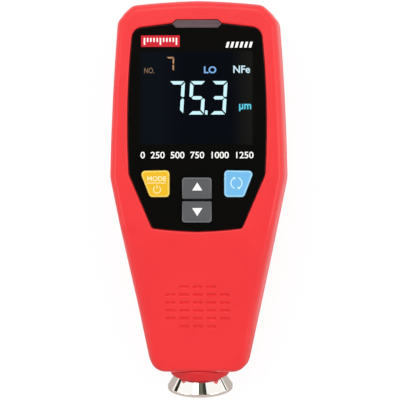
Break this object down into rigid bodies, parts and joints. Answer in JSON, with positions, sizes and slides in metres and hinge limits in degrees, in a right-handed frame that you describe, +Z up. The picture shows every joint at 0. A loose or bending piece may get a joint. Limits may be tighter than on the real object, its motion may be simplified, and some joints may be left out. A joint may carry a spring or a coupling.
{
  "type": "coating thickness gauge",
  "caption": "Handheld coating thickness gauge with a glossy display panel, coloured keys and a flared metal probe foot that is held flat on a coated surface.",
  "frame": {"origin": "on the surface that the gauge lies on, under the middle of its bounding box", "axes": "+Z up out of the face, +Y towards the display end, +X to the right of the face; the probe is at -Y"},
  "size_m": [0.0616, 0.138, 0.0356],
  "materials": {
    "red_housing": "satin moulded ABS",
    "dark_red_collar": "satin moulded ABS",
    "black_panel": "polished acrylic, printed black behind",
    "grey_pipe": "smooth light pipe",
    "yellow_key": "satin",
    "blue_key": "satin",
    "grey_key": "satin",
    "black_plastic": "moulded",
    "white_plastic": "moulded",
    "display_glass": "dark liquid crystal glass with polariser",
    "grey_rubber": "moulded strip",
    "board": "green solder mask",
    "steel": "plated steel",
    "chromed_steel": "polished",
    "copper_wire": "enamelled copper winding",
    "battery_sleeve": "printed sleeve"
  },
  "bodies": {
    "gauge_body": {"front_housing": "red_housing", "rear_housing": "red_housing", "probe_collar": "dark_red_collar", "lens_panel": "black_panel", "light_bar": "grey_pipe", "mode_switch": "black_plastic", "cycle_switch": "black_plastic", "up_switch": "black_plastic", "down_switch": "black_plastic", "processor_chip": "black_plastic", "measuring_chip": "black_plastic", "buzzer": "black_plastic", "display_frame": "black_plastic", "probe_holder": "black_plastic", "probe_lead": "black_plastic", "indicator_lamp_left": "white_plastic", "indicator_lamp_right": "white_plastic", "probe_socket": "white_plastic", "backlight_plate": "white_plastic", "display_glass": "display_glass", "display_connector": "grey_rubber", "circuit_board": "board", "board_screw_1": "steel", "board_screw_2": "steel", "board_screw_3": "steel", "board_screw_4": "steel", "housing_screw_1": "steel", "housing_screw_2": "steel", "housing_screw_3": "steel", "housing_screw_4": "steel", "battery_spring_left": "steel", "battery_spring_right": "steel", "contact_bridge": "steel", "contact_plate_left": "steel", "contact_plate_right": "steel", "probe_spring": "steel", "probe_foot": "chromed_steel", "battery_cell_left": "battery_sleeve", "battery_cell_right": "battery_sleeve"},
    "mode_button": {"mode_key": "yellow_key", "mode_plunger": "steel"},
    "cycle_button": {"cycle_key": "blue_key", "cycle_plunger": "steel"},
    "up_button": {"up_key": "grey_key", "up_plunger": "steel"},
    "down_button": {"down_key": "grey_key", "down_plunger": "steel"},
    "probe_tip": {"probe_plunger": "steel", "sensing_coil": "copper_wire"},
    "door": {"battery_door": "red_housing"}
  },
  "joints": [
    {"name": "mode_press", "type": "slide", "parent": "gauge_body", "child": "mode_button", "axis": [0, 0, -1], "range_m": [0, 0.0005], "stiffness_N_per_m": 800, "springref_m": -0.0006},
    {"name": "cycle_press", "type": "slide", "parent": "gauge_body", "child": "cycle_button", "axis": [0, 0, -1], "range_m": [0, 0.0005], "stiffness_N_per_m": 800, "springref_m": -0.0006},
    {"name": "up_press", "type": "slide", "parent": "gauge_body", "child": "up_button", "axis": [0, 0, -1], "range_m": [0, 0.0005], "stiffness_N_per_m": 800, "springref_m": -0.0006},
    {"name": "down_press", "type": "slide", "parent": "gauge_body", "child": "down_button", "axis": [0, 0, -1], "range_m": [0, 0.0005], "stiffness_N_per_m": 800, "springref_m": -0.0006},
    {"name": "probe_press", "type": "slide", "parent": "gauge_body", "child": "probe_tip", "axis": [0, 0.9703, 0.2419], "range_m": [0, 0.002], "stiffness_N_per_m": 200, "springref_m": -0.003, "deforming": ["probe_spring"]},
    {"name": "door_slide", "type": "slide", "parent": "gauge_body", "child": "door", "axis": [0, 1, 0], "range_m": [0, 0.06]}
  ]
}
